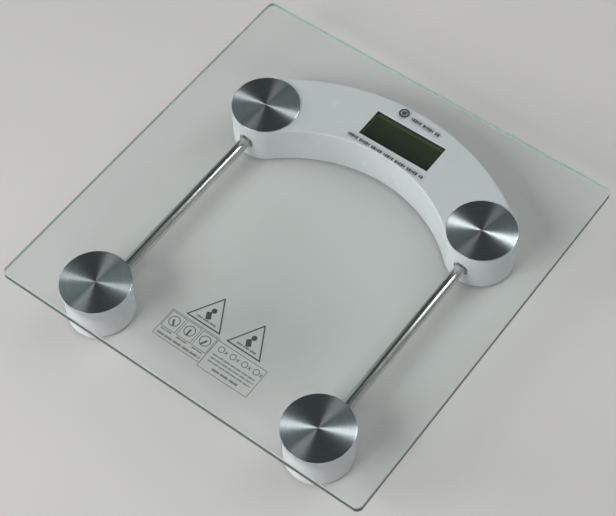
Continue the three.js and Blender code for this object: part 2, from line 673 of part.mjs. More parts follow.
for (const [label, side] of SIDES) {
  const x = side * POD_X;
  addPodInside(`back_${label}`, x, BACK_POD_Y);
  const pod = addPodInside(`front_${label}`, x, FRONT_POD_Y);
  place(pod, `pod_shell_front_${label}`, frontPodShell(), WHITE_PLASTIC);
  place(pod, `pod_base_front_${label}`, frontPodBase(), WHITE_PLASTIC);
  place(pod, `pod_screw_inner_${label}`, screw(), BARE_STEEL, -side * SCREW_RING_RADIUS);
  place(pod, `pod_screw_outer_${label}`, screw(), BARE_STEEL, side * SCREW_RING_RADIUS);

  const middleY = (TUBE_FRONT_Y + TUBE_BACK_Y) / 2;
  place(scale, `steel_tube_${label}`, steelTube(), POLISHED_STEEL, x, middleY, TUBE_AXIS_Z);
  const reach = BUSH_SET_BACK + BUSH_LENGTH / 2;
  const backY = BACK_POD_Y - BACK_POD_RADIUS + reach;
  const frontY = FRONT_POD_Y + FRONT_POD_RADIUS - reach;
  place(scale, `tube_bush_back_${label}`, tubeBush(), GREY_PLASTIC, x, backY, TUBE_AXIS_Z);
  place(scale, `tube_bush_front_${label}`, tubeBush(), GREY_PLASTIC, x, frontY, TUBE_AXIS_Z);

  place(scale, `housing_screw_end_${label}`, screw(), BARE_STEEL, x + side * SCREW_RING_RADIUS, BACK_POD_Y);
  place(scale, `housing_screw_middle_${label}`, screw(), BARE_STEEL, side * MIDDLE_SCREW_X, MIDDLE_SCREW_Y);
  place(scale, `wire_loom_front_${label}`, frontLoom(side), WIRE_GREY);
  place(scale, `wire_lead_back_${label}`, backLead(side), WIRE_GREY);
}

place(scale, 'display_housing', displayHousing(), WHITE_PLASTIC);
place(scale, 'housing_base', housingBase(), WHITE_PLASTIC);

place(scale, 'lcd_panel', lcdPanel(), LCD_GLASS, WINDOW_X, WINDOW_Y);
place(scale, 'lcd_holder', lcdHolder(), BLACK_PLASTIC, WINDOW_X, WINDOW_Y);
const stripOffset = LCD_WIDTH / 2 - STRIP_WIDTH;
place(scale, 'contact_strip_front', contactStrip(), RUBBER, WINDOW_X, WINDOW_Y - stripOffset);
place(scale, 'contact_strip_back', contactStrip(), RUBBER, WINDOW_X, WINDOW_Y + stripOffset);

place(scale, 'circuit_board', circuitBoard(), BOARD_GREEN, 0, BOARD_Y);
place(scale, 'controller_chip', controllerChip(), BLACK_PLASTIC, CHIP_X, BOARD_Y);
place(scale, 'unit_switch', unitSwitch(), BLACK_PLASTIC, BUTTON_X, BUTTON_Y);
place(scale, 'unit_button', unitButton(), GREY_PLASTIC, BUTTON_X, BUTTON_Y);

place(scale, 'battery_cap', batteryCap(), WHITE_PLASTIC, BATTERY_X, BATTERY_Y);
place(scale, 'coin_cell', coinCell(), BARE_STEEL, BATTERY_X, BATTERY_Y);
place(scale, 'battery_contact_top', topContact(), BRASS, BATTERY_X, BATTERY_Y);
place(scale, 'battery_contact_side', sideContact(), BRASS, BATTERY_X, BATTERY_Y);
place(scale, 'battery_lead', batteryLead(), WIRE_GREY);

export default scale;
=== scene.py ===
"""Digital bathroom scale: the finished surfaces, materials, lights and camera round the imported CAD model.

Metres, +Z up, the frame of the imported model: the origin is on the floor under the centre of the
platform, +Y points to the display and +X to the user's right.
"""
from math import atan2, cos, hypot, pi, radians, sin, tan

import bmesh
import bpy
from mathutils import Matrix, Quaternion, Vector


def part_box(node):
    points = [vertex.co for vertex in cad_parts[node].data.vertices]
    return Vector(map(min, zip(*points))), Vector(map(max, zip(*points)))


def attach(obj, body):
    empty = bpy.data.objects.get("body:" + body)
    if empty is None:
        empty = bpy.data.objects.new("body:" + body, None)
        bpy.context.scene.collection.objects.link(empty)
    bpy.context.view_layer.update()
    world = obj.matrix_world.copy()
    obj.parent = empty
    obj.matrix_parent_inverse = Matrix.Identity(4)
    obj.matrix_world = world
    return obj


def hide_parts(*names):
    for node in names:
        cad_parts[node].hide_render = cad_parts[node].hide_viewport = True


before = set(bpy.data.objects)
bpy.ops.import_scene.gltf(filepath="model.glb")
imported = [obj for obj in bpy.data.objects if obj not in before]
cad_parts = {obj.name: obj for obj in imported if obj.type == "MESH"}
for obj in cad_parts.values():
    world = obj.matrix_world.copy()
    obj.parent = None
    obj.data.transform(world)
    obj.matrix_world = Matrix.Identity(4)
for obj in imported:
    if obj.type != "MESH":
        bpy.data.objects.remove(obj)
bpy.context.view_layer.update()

MM = 0.001
CORNERS = ("back_left", "back_right", "front_left", "front_right")
SIDES = ("left", "right")
PLATFORM = "platform_body"

# ---------------------------------------------------------------- camera

CAMERA_PLACE = Vector((0.4467, -0.5471, 1.0812))
CAMERA_AIM = Vector((0.0328, -0.0071, 0.0440))
CAMERA_ROLL = radians(-1.29)
CAMERA_LENS = 97.1
CAMERA_SHIFT = -0.052


def make_camera():
    data = bpy.data.cameras.new("camera")
    data.lens = CAMERA_LENS
    data.shift_x = CAMERA_SHIFT
    data.clip_end = 50
    camera = bpy.data.objects.new("camera", data)
    look = (CAMERA_AIM - CAMERA_PLACE).to_track_quat("-Z", "Y")
    camera.location = CAMERA_PLACE
    camera.rotation_mode = "QUATERNION"
    camera.rotation_quaternion = look @ Quaternion((0, 0, 1), CAMERA_ROLL)
    bpy.context.collection.objects.link(camera)
    bpy.context.scene.camera = camera


make_camera()

# ---------------------------------------------------------------- material nodes


class Shader:
    """A material's node tree, with short calls that add nodes and join them."""

    def __init__(self, name):
        self.material = bpy.data.materials.new(name)
        self.material.use_nodes = True
        self.nodes = self.material.node_tree.nodes
        self.links = self.material.node_tree.links
        self.nodes.clear()

    def add(self, kind, inputs=None, **settings):
        """A node with these settings. An input's value is a number, a colour or another node's output."""
        node = self.nodes.new("ShaderNode" + kind)
        for name, value in settings.items():
            setattr(node, name, value)
        for name, value in (inputs or {}).items():
            if isinstance(value, bpy.types.NodeSocket):
                self.links.new(value, node.inputs[name])
            else:
                node.inputs[name].default_value = value
        return node

    def place(self):
        """Where a point lies in its piece, in metres."""
        return self.add("TexCoord").outputs["Object"]

    def noise(self, scale, detail=2.0, stretch=(1, 1, 1), roughness=0.5):
        """Noise with features of about 1 / scale metres, drawn out along the axes by stretch."""
        place = self.add("Mapping", {"Vector": self.place(), "Scale": stretch}).outputs["Vector"]
        values = {"Vector": place, "Scale": scale, "Detail": detail, "Roughness": roughness}
        return self.add("TexNoise", values).outputs["Fac"]

    def maths(self, operation, a, b=0.0):
        return self.add("Math", {0: a, 1: b}, operation=operation).outputs[0]

    def spread(self, value, low, high, start=0.3, end=0.7):
        """The value's range from start to end, spread from low to high."""
        values = {"Value": value, "From Min": start, "From Max": end, "To Min": low, "To Max": high}
        return self.add("MapRange", values).outputs["Result"]

    def tint(self, value, first, second):
        """A colour between first and second."""
        node = self.add("Mix", {"Factor": value}, data_type="RGBA")
        for name, colour in (("A", first), ("B", second)):
            socket = next(s for s in node.inputs if s.name == name and s.type == "RGBA")
            if isinstance(colour, bpy.types.NodeSocket):
                self.links.new(colour, socket)
            else:
                socket.default_value = (*colour, 1)
        return next(s for s in node.outputs if s.type == "RGBA")

    def bump(self, height, distance, strength=1.0):
        values = {"Height": height, "Distance": distance, "Strength": strength}
        return self.add("Bump", values).outputs["Normal"]

    def finish(self, shader, volume=None):
        output = self.add("OutputMaterial", {"Surface": shader})
        if volume is not None:
            self.links.new(volume, output.inputs["Volume"])
        return self.material

    def principled(self, inputs):
        return self.add("BsdfPrincipled", inputs).outputs["BSDF"]


# ---------------------------------------------------------------- materials


def moulded_plastic(name, light, dark, low_gloss, high_gloss):
    """Moulded plastic: slight clouds in its colour, uneven gloss and a fine moulding texture."""
    s = Shader(name)
    clouds = s.noise(30, 3)
    fine = s.noise(2600, 2)
    return s.finish(s.principled({
        "Base Color": s.tint(s.spread(clouds, 0, 1), (*light,), (*dark,)),
        "Roughness": s.spread(s.noise(90, 4), low_gloss, high_gloss),
        "IOR": 1.5,
        "Normal": s.bump(fine, 0.02 * MM, 0.12),
    }))


def spun_aluminium():
    """Turned face: grooves round the centre spread every highlight into a pair of wedges."""
    s = Shader("spun_aluminium")
    split = s.add("SeparateXYZ", {"Vector": s.place()}).outputs
    radius = s.maths("POWER", s.maths("ADD", s.maths("MULTIPLY", split["X"], split["X"]),
                                      s.maths("MULTIPLY", split["Y"], split["Y"])), 0.5)
    across = s.add("CombineXYZ", {"X": radius}).outputs["Vector"]
    grooves = s.add("TexNoise", {"Vector": across, "Scale": 3800, "Detail": 3}).outputs["Fac"]
    bands = s.add("TexNoise", {"Vector": across, "Scale": 500, "Detail": 2}).outputs["Fac"]
    tangent = s.add("Tangent", direction_type="RADIAL", axis="Z").outputs["Tangent"]
    return s.finish(s.principled({
        "Base Color": s.tint(s.spread(bands, 0, 1), (0.85, 0.85, 0.88), (0.76, 0.76, 0.79)),
        "Metallic": 1.0,
        "Roughness": s.spread(grooves, 0.27, 0.34),
        "Anisotropic": 0.95,
        "Anisotropic Rotation": 0.25,
        "Tangent": tangent,
        "Normal": s.bump(grooves, 0.004 * MM, 0.4),
    }))


def polished_steel():
    """Drawn and polished tube, with faint lines along its length."""
    s = Shader("polished_steel")
    lines = s.noise(1500, 2, stretch=(1, 0.02, 1))
    return s.finish(s.principled({
        "Base Color": s.tint(s.spread(s.noise(60), 0, 1), (0.66, 0.66, 0.64), (0.58, 0.57, 0.55)),
        "Metallic": 1.0,
        "Roughness": s.spread(lines, 0.21, 0.29),
        "Normal": s.bump(lines, 0.004 * MM, 0.3),
    }))


def bare_steel():
    """Stamped or zinc-plated steel: rolled grain, patchy gloss."""
    s = Shader("bare_steel")
    grain = s.noise(900, 4, stretch=(1, 0.15, 1))
    patches = s.noise(220, 3)
    return s.finish(s.principled({
        "Base Color": s.tint(s.spread(patches, 0, 1), (0.62, 0.63, 0.64), (0.48, 0.49, 0.51)),
        "Metallic": 1.0,
        "Roughness": s.spread(patches, 0.28, 0.45),
        "Normal": s.bump(grain, 0.01 * MM, 0.3),
    }))


def brass_strip():
    s = Shader("brass_strip")
    grain = s.noise(900, 3, stretch=(0.15, 1, 1))
    return s.finish(s.principled({
        "Base Color": s.tint(s.spread(s.noise(300), 0, 1), (0.72, 0.58, 0.30), (0.60, 0.45, 0.22)),
        "Metallic": 1.0,
        "Roughness": s.spread(grain, 0.25, 0.42),
        "Normal": s.bump(grain, 0.01 * MM, 0.3),
    }))


def rubber():
    """Matt moulded rubber with a fine pebbled skin."""
    s = Shader("rubber")
    skin = s.noise(2200, 4)
    return s.finish(s.principled({
        "Base Color": s.tint(s.spread(s.noise(120, 3), 0, 1), (0.055, 0.055, 0.055), (0.035, 0.035, 0.034)),
        "Roughness": s.spread(skin, 0.72, 0.9),
        "Specular IOR Level": 0.35,
        "Normal": s.bump(skin, 0.04 * MM, 0.5),
    }))


def clear_glass():
    """Float glass. The view bends in it, while light on its way to the floor goes straight through with a
    faint tint. A ray inside the glass counts as both glossy and transmitted, so transmission comes last.
    """
    s = Shader("clear_glass")
    smears = s.spread(s.noise(14, 5), 0.0, 0.03, 0.45, 0.75)
    glass = s.principled({
        "Base Color": s.tint(smears, (0.957, 0.984, 0.977), (0.935, 0.966, 0.957)),
        "Roughness": 0.0,
        "IOR": 1.5,
        "Transmission Weight": 1.0,
    })
    clear = s.add("BsdfTransparent", {"Color": (0.944, 0.967, 0.961, 1)}).outputs["BSDF"]
    path = s.add("LightPath").outputs
    shader = glass
    for kind in ("Is Diffuse Ray", "Is Glossy Ray", "Is Shadow Ray"):
        shader = s.add("MixShader", {0: path[kind], 1: shader, 2: clear}).outputs[0]
    shader = s.add("MixShader", {0: path["Is Transmission Ray"], 1: shader, 2: glass}).outputs[0]
    return s.finish(shader)


def ground_edge():
    """The polished edge of the glass: dark green from outside. Where it is seen through the glass it gets a
    pale tint, which is painted light: the edge lit from inside the glass.
    """
    s = Shader("ground_edge")
    lines = s.noise(1400, 3, stretch=(1, 1, 0.05))
    outside = s.tint(s.spread(s.noise(40, 3), 0, 1), (0.070, 0.094, 0.081), (0.054, 0.075, 0.064))
    # Painted light: the faces seen from inside the glass take the pale tint.
    through = s.add("NewGeometry").outputs["Backfacing"]
    return s.finish(s.principled({
        "Base Color": s.tint(through, outside, (0.40, 0.56, 0.49)),
        "Roughness": s.spread(lines, 0.22, 0.36),
        "IOR": 1.5,
        "Transmission Weight": 0.1,
        "Normal": s.bump(lines, 0.01 * MM, 0.3),
    }))


def arris_painted_highlight():
    """The narrow chamfer along each edge of the glass. Its pale colour is a painted highlight."""
    s = Shader("arris_painted_highlight")
    lines = s.noise(1800, 3)
    return s.finish(s.principled({
        # Painted highlight: the pale colour stands in for the light that the chamfer catches.
        "Base Color": s.tint(s.spread(s.noise(60, 3), 0, 1), (0.60, 0.67, 0.64), (0.50, 0.57, 0.54)),
        "Roughness": s.spread(lines, 0.3, 0.5),
        "IOR": 1.5,
        "Transmission Weight": 0.3,
    }))


def lcd_polariser():
    """The unlit display behind its polariser: dark green, a little lighter towards the back."""
    s = Shader("lcd_polariser")
    away = s.add("SeparateXYZ", {"Vector": s.place()}).outputs["Y"]
    uneven = s.maths("ADD", s.spread(away, 0, 0.8, -13 * MM, 13 * MM), s.spread(s.noise(60, 2), 0, 0.2))
    return s.finish(s.principled({
        "Base Color": s.tint(uneven, (0.020, 0.027, 0.020), (0.044, 0.055, 0.031)),
        "Roughness": s.spread(s.noise(700, 2), 0.08, 0.12),
        "IOR": 1.5,
    }))


def lcd_rim():
    """The band of clear glass and reflector that shows round the polariser."""
    s = Shader("lcd_rim")
    return s.finish(s.principled({
        "Base Color": s.tint(s.spread(s.noise(90, 2), 0, 1), (0.092, 0.112, 0.050), (0.072, 0.090, 0.042)),
        "Roughness": s.spread(s.noise(700, 2), 0.12, 0.2),
        "IOR": 1.5,
    }))


def print_ink():
    """Screen-printed grey ink, slightly uneven in cover."""
    s = Shader("print_ink")
    cover = s.noise(1500, 4)
    return s.finish(s.principled({
        "Base Color": s.tint(s.spread(cover, 0, 1), (0.050, 0.055, 0.058), (0.085, 0.092, 0.095)),
        "Roughness": s.spread(s.noise(800), 0.5, 0.65),
    }))


def pale_ink():
    s = Shader("pale_ink")
    cover = s.noise(1500, 4)
    return s.finish(s.principled({
        "Base Color": s.tint(s.spread(cover, 0, 1), (0.085, 0.092, 0.088), (0.13, 0.14, 0.135)),
        "Roughness": s.spread(s.noise(800), 0.5, 0.65),
    }))


def solder_mask():
    """Green board lacquer with faint traces under it."""
    s = Shader("solder_mask")
    traces = s.add("TexBrick", {"Vector": s.place(), "Scale": 160, "Mortar Size": 0.06}).outputs["Fac"]
    return s.finish(s.principled({
        "Base Color": s.tint(traces, (0.018, 0.115, 0.045), (0.035, 0.21, 0.075)),
        "Roughness": s.spread(s.noise(500), 0.28, 0.42),
        "Normal": s.bump(traces, 0.03 * MM, 0.4),
    }))


def floor_finish():
    """Pale paper-like floor."""
    s = Shader("floor_finish")
    clouds = s.noise(3, 3)
    return s.finish(s.principled({
        "Base Color": s.tint(s.spread(clouds, 0, 1), (0.72, 0.712, 0.70), (0.68, 0.675, 0.665)),
        "Roughness": s.spread(s.noise(60, 3), 0.75, 0.9),
        "Specular IOR Level": 0.2,
        "Normal": s.bump(s.noise(400, 4), 0.05 * MM, 0.3),
    }))


WHITE = moulded_plastic("white_plastic", (0.785, 0.795, 0.81), (0.755, 0.765, 0.78), 0.20, 0.28)
GREY = moulded_plastic("grey_plastic", (0.56, 0.55, 0.53), (0.48, 0.47, 0.45), 0.40, 0.55)
BLACK = moulded_plastic("black_plastic", (0.022, 0.022, 0.022), (0.030, 0.030, 0.030), 0.38, 0.52)
WIRE = moulded_plastic("wire_grey", (0.50, 0.50, 0.48), (0.42, 0.42, 0.40), 0.42, 0.55)
ALUMINIUM = spun_aluminium()
TUBE_STEEL = polished_steel()
STEEL = bare_steel()
BRASS = brass_strip()
RUBBER = rubber()
GLASS = clear_glass()
EDGE = ground_edge()
ARRIS_HIGHLIGHT = arris_painted_highlight()
LCD = lcd_polariser()
LCD_RIM = lcd_rim()
INK = print_ink()
PALE_INK = pale_ink()
BOARD = solder_mask()

# ---------------------------------------------------------------- shapes

ROUND = 128
CREASE = 32


def on_circle(radius, angle, centre=(0, 0)):
    return centre[0] + radius * cos(angle), centre[1] + radius * sin(angle)


def circle(steps=ROUND):
    """An outline that gives a circle of any radius."""
    def points(radius):
        return [on_circle(radius, 2 * pi * i / steps) for i in range(steps)]
    return points


def rounded_rectangle(length, width, radius, steps=8):
    """An outline that gives a rectangle with round corners, moved inwards by an inset."""
    def points(inset):
        x, y, r = length / 2 - radius, width / 2 - radius, max(radius - inset, 0.01 * MM)
        found = []
        for quarter, (cx, cy) in enumerate(((x, y), (-x, y), (-x, -y), (x, -y))):
            for i in range(steps + 1):
                angle = (quarter + i / steps) * pi / 2
                found.append((cx + r * cos(angle), cy + r * sin(angle)))
        return found
    return points


def eased(corners, steps=5, closed=False):
    """The corners (x, y, radius) joined by straight lines, each corner eased by an arc of its radius."""
    found, last = [], len(corners) - 1
    for i, (x, y, radius) in enumerate(corners):
        here = Vector((x, y))
        if radius == 0 or (not closed and i in (0, last)):
            found.append((x, y))
            continue
        before = (Vector(corners[i - 1][:2]) - here).normalized()
        after = (Vector(corners[(i + 1) % (last + 1)][:2]) - here).normalized()
        half = before.angle(after) / 2
        centre = here + (before + after).normalized() * (radius / sin(half))
        start = here + before * (radius / tan(half)) - centre
        end = here + after * (radius / tan(half)) - centre
        turn = start.angle(end)
        for k in range(steps + 1):
            share = turn * k / steps
            point = centre + (start * sin(turn - share) + end * sin(share)) / sin(turn)
            found.append((point.x, point.y))
    return found


def stack(outline, profile, capped=True, centre=(0, 0)):
    """A body skinned over the outline's copies, one for each (size, height) of the profile."""
    bm = bmesh.new()
    loops = []
    for size, height in profile:
        loops.append([bm.verts.new((x + centre[0], y + centre[1], height)) for x, y in outline(size)])
    pairs = list(zip(loops, loops[1:]))
    if capped:
        bm.faces.new(loops[0][::-1])
        bm.faces.new(loops[-1])
    else:
        pairs.append((loops[-1], loops[0]))
    for lower, upper in pairs:
        count = len(lower)
        for i in range(count):
            j = (i + 1) % count
            bm.faces.new((lower[i], lower[j], upper[j], upper[i]))
    bmesh.ops.recalc_face_normals(bm, faces=bm.faces)
    return bm


def turned(profile, centre=(0, 0), steps=ROUND, capped=True):
    """A round body about an upright axis. The profile is (radius, height) points, from the bottom up."""
    return stack(circle(steps), profile, capped, centre)


def laid_along_y(bm, x, y, z):
    """A round body turned about Z, laid along Y with its base at (x, y, z)."""
    lay = Matrix.Translation((x, y, z)) @ Matrix.Rotation(-pi / 2, 4, "X")
    bmesh.ops.transform(bm, matrix=lay, verts=bm.verts)
    return bm


def to_object(name, bm):
    mesh = bpy.data.meshes.new(name)
    bm.to_mesh(mesh)
    bm.free()
    made = bpy.data.objects.new(name, mesh)
    bpy.context.collection.objects.link(made)
    return made


def combined(bm, tools, operation="DIFFERENCE"):
    """The body with each tool cut away from it, or joined to it with operation UNION."""
    base = to_object("base", bm)
    cutters = [to_object("tool", tool) for tool in tools]
    for cutter in cutters:
        modifier = base.modifiers.new("cut", "BOOLEAN")
        modifier.operation = operation
        modifier.solver = "EXACT"
        modifier.object = cutter
    graph = bpy.context.evaluated_depsgraph_get()
    result = bmesh.new()
    result.from_mesh(base.evaluated_get(graph).to_mesh())
    for spare in (base, *cutters):
        mesh = spare.data
        bpy.data.objects.remove(spare)
        bpy.data.meshes.remove(mesh)
    return result


def joined(*parts):
    """Several separate bodies in one mesh."""
    whole = bmesh.new()
    for part in parts:
        mesh = bpy.data.meshes.new("part")
        part.to_mesh(mesh)
        part.free()
        whole.from_mesh(mesh)
        bpy.data.meshes.remove(mesh)
    return whole


def piece(name, bm, finish, replaces, body=PLATFORM, centre=(0, 0, 0)):
    """A finished piece that rides on a body. finish is a material, or one for each index of the faces."""
    bmesh.ops.translate(bm, vec=-Vector(centre), verts=bm.verts)
    made = to_object(name, bm)
    made.location = centre
    for material in finish if isinstance(finish, (list, tuple)) else [finish]:
        made.data.materials.append(material)
    made.data.polygons.foreach_set("use_smooth", [True] * len(made.data.polygons))
    made.data.set_sharp_from_angle(angle=radians(CREASE))
    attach(made, body)
    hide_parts(*([replaces] if isinstance(replaces, str) else replaces))
    return made


def middle(node):
    low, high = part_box(node)
    return (low + high) / 2


def size(node):
    low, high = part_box(node)
    return high - low


# ---------------------------------------------------------------- shared dimensions

SHELL_BOTTOM, SHELL_TOP = (corner.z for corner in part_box("display_housing"))
WALL = 2 * MM
DRAFT = 0.35 * MM
TOP_FILLET = 1.6 * MM
EDGE_EASE = 0.4 * MM
SUPPORT = 0.4 * MM

POD = {corner: middle("cover_disc_" + corner) for corner in CORNERS}
BACK_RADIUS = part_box("display_housing")[1].x - POD["back_right"].x
FRONT_RADIUS = size("pod_shell_front_right").x / 2


def shell_profile():
    """(inset, height) round a shell's wall: down its inside, round its rim, up its outside to the top."""
    ceiling = SHELL_TOP - WALL
    inside = [(2 * WALL + SUPPORT, ceiling, 0), (WALL + DRAFT, ceiling, 0.8 * MM), (WALL, SHELL_BOTTOM, 0)]
    outside = [
        (EDGE_EASE / 2, SHELL_BOTTOM, 0), (0, SHELL_BOTTOM + EDGE_EASE / 2, 0),
        (DRAFT, SHELL_TOP, TOP_FILLET), (DRAFT + 2 * TOP_FILLET, SHELL_TOP, 0),
    ]
    rounding = eased(outside, steps=8)
    rounding.insert(-1, (DRAFT + TOP_FILLET + SUPPORT, SHELL_TOP))
    return eased(inside, steps=4) + rounding


# ---------------------------------------------------------------- glass platform


def glass_platform():
    low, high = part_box("glass_platform")
    side = high.x - low.x
    corner = 5 * MM
    arris = 0.7 * MM
    profile = [
        (arris + SUPPORT, low.z), (arris, low.z), (arris * 0.45, low.z + arris * 0.2),
        (arris * 0.15, low.z + arris * 0.55), (0, low.z + arris), (0, high.z - arris),
        (arris * 0.15, high.z - arris * 0.55), (arris * 0.45, high.z - arris * 0.2), (arris, high.z),
        (arris + SUPPORT, high.z),
    ]
    bm = stack(rounded_rectangle(side, side, corner, 12), profile)
    for face in bm.faces:
        if abs(face.normal.z) < 0.05:
            face.material_index = 1
        elif abs(face.normal.z) < 0.97:
            face.material_index = 2
    piece("glass_plate", bm, (GLASS, EDGE, ARRIS_HIGHLIGHT), "glass_platform")


# ---------------------------------------------------------------- cover discs


def cover_disc(corner):
    node = "cover_disc_" + corner
    low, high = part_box(node)
    centre = (low + high) / 2
    radius = (high.x - low.x) / 2
    profile = eased([
        (radius - 0.6 * MM, low.z, 0), (radius, low.z, 0.2 * MM), (radius, high.z, 0.2 * MM),
        (radius - 0.8 * MM, high.z, 0),
    ])
    bm = turned(profile, centre[:2], steps=160)
    piece("spun_disc_" + corner, bm, ALUMINIUM, node, centre=centre)


# ---------------------------------------------------------------- display housing

CRESCENT_FRONT = 91 * MM
CRESCENT_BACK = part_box("display_housing")[1].y
WINDOW_LENGTH = 65 * MM
WINDOW_WIDTH = 26.5 * MM
WINDOW_CORNER = 0.6 * MM
BUSH_GAP = 0.15 * MM
BORE_DEPTH = 12 * MM
PAST = MM


def tangent_arc(through, side):
    """Centre height and radius of an arc about x = 0 that touches the round ends."""
    drop = through - POD["back_right"].y
    reach = BACK_RADIUS * side
    radius = (POD["back_right"].x ** 2 + drop ** 2 - reach ** 2) / (2 * (drop - reach))
    return through - radius, radius


def crescent(inset):
    """The crescent's outline, moved inwards by the inset."""
    x, y = POD["back_right"].x, POD["back_right"].y
    (outer_y, outer), (inner_y, inner) = tangent_arc(CRESCENT_BACK, 1), tangent_arc(CRESCENT_FRONT, -1)
    outer_end, inner_end = atan2(y - outer_y, x), atan2(y - inner_y, x)
    arcs = (
        (0, outer_y, outer - inset, outer_end, pi - outer_end, 72),
        (-x, y, BACK_RADIUS - inset, pi - outer_end, 2 * pi - inner_end, 56),
        (0, inner_y, inner + inset, pi - inner_end, inner_end, 72),
        (x, y, BACK_RADIUS - inset, inner_end - pi, outer_end, 56),
    )
    return [
        on_circle(radius, start + (end - start) * i / steps, (cx, cy))
        for cx, cy, radius, start, end, steps in arcs for i in range(steps)
    ]


def tube_bore(side, front, back):
    """The hole that a tube's bush fills, along Y."""
    node = "tube_bush_back_" + side
    centre, radius = middle(node), size(node).x / 2 + BUSH_GAP
    bore = turned([(radius, 0), (radius, back - front)])
    return laid_along_y(bore, centre.x, front, centre.z)


def window_cutter():
    """The display's window, with a small chamfer at the top."""
    centre = middle("lcd_panel")
    easing = 0.3 * MM
    profile = [
        (easing, SHELL_TOP - WALL - PAST), (easing, SHELL_TOP - easing),
        (0, SHELL_TOP), (0, SHELL_TOP + PAST),
    ]
    outline = rounded_rectangle(WINDOW_LENGTH + 2 * easing, WINDOW_WIDTH + 2 * easing, WINDOW_CORNER, 4)
    return stack(outline, profile, centre=centre[:2])


def display_housing():
    shell = stack(crescent, shell_profile())
    crown = POD["back_left"].y - BACK_RADIUS
    bores = [tube_bore(side, crown - 2 * PAST, crown + BORE_DEPTH) for side in SIDES]
    bm = combined(shell, [window_cutter(), *bores])
    piece("crescent_housing", bm, WHITE, "display_housing")


def front_pod_shell(side):
    node = "pod_shell_front_" + side
    centre = POD["front_" + side]
    profile = [(FRONT_RADIUS - inset, height) for inset, height in shell_profile()]
    shell = turned(profile, centre[:2])
    crown = centre.y + FRONT_RADIUS
    bm = combined(shell, [tube_bore(side, crown - BORE_DEPTH, crown + 2 * PAST)])
    piece("front_pod_" + side, bm, WHITE, node)


# ---------------------------------------------------------------- tubes and bushes


def steel_tube(side):
    node = "steel_tube_" + side
    low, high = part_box(node)
    radius, bore = (high.x - low.x) / 2, 3.7 * MM
    length = high.y - low.y
    profile = eased([
        (bore, 0, 0.1 * MM), (radius, 0, 0.3 * MM), (radius, length, 0.3 * MM), (bore, length, 0.1 * MM),
    ], closed=True)
    centre = (low + high) / 2
    bm = laid_along_y(turned(profile, steps=64, capped=False), centre.x, low.y, centre.z)
    piece("tube_" + side, bm, TUBE_STEEL, node)


def tube_bush(end, side):
    node = f"tube_bush_{end}_{side}"
    low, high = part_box(node)
    outer, inner = (high.x - low.x) / 2, size("steel_tube_" + side).x / 2 + BUSH_GAP
    length = high.y - low.y
    profile = eased([
        (inner, 0, 0.3 * MM), (outer, 0, 0.3 * MM), (outer, length, 0.3 * MM), (inner, length, 0.3 * MM),
    ], closed=True, steps=3)
    centre = (low + high) / 2
    bm = laid_along_y(turned(profile, steps=64, capped=False), centre.x, low.y, centre.z)
    piece(f"bush_{end}_{side}", bm, GREY, node)


# ---------------------------------------------------------------- display


def lcd_panel():
    """The display's glass, with a polariser film that stops short of the window's back and left edges."""
    low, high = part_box("lcd_panel")
    centre = (low + high) / 2
    length, width = high.x - low.x, high.y - low.y
    film, rim = 0.12 * MM, high.z - 0.12 * MM
    profile = [
        (0.5 * MM, low.z), (0.2 * MM, low.z), (0, low.z + 0.2 * MM), (0, rim - 0.2 * MM), (0.2 * MM, rim),
        (0.5 * MM, rim),
    ]
    bm = stack(rounded_rectangle(length, width, 0.4 * MM, 3), profile, centre=centre[:2])
    piece("lcd_glass", bm, LCD_RIM, "lcd_panel", centre=centre)

    left, back = centre.x - WINDOW_LENGTH / 2 + 1.6 * MM, centre.y + WINDOW_WIDTH / 2 - 3.4 * MM
    right, front = high.x - 1.0 * MM, low.y + 1.0 * MM
    sheet_centre = ((left + right) / 2, (front + back) / 2)
    profile = [(0.3 * MM, rim), (0, rim), (0, high.z - film / 3), (film / 3, high.z), (0.3 * MM, high.z)]
    sheet = stack(rounded_rectangle(right - left, back - front, 0.3 * MM, 3), profile, centre=sheet_centre)
    piece("lcd_polariser", sheet, LCD, (), centre=centre)

    # Painted shade: a thin black sheet over the window's walls darkens them where they lie in shade.
    skin, wide, low_edge, top_edge = 0.02 * MM, 0.5 * MM, high.z + 0.02 * MM, SHELL_TOP - 0.35 * MM
    profile = [(wide, low_edge), (skin, low_edge), (skin, top_edge), (wide - 0.2 * MM, top_edge)]
    frame_outline = rounded_rectangle(WINDOW_LENGTH, WINDOW_WIDTH, WINDOW_CORNER, 4)
    wall_shade_sheet = stack(frame_outline, profile, capped=False, centre=centre[:2])
    piece("window_wall_painted_shade", wall_shade_sheet, BLACK, ())


# ---------------------------------------------------------------- feet


def foot(corner):
    node = "foot_" + corner
    low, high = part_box(node)
    centre = (low + high) / 2
    flange = (high.x - low.x) / 2
    radius, stem = 17 * MM, 5 * MM
    flange_low, flange_high = 5.3 * MM, 6.3 * MM
    profile = eased([
        (radius - 1.2 * MM, low.z, 0), (radius, low.z, 0.5 * MM), (radius, flange_low, 0.1 * MM),
        (flange, flange_low, 0.2 * MM), (flange, flange_high, 0.2 * MM), (stem, flange_high, 0.3 * MM),
        (stem, high.z, 0.5 * MM), (stem - 0.9 * MM, high.z, 0),
    ])
    piece("foot_cup_" + corner, turned(profile, centre[:2]), WHITE, node,
          body="sprung_foot_" + corner)


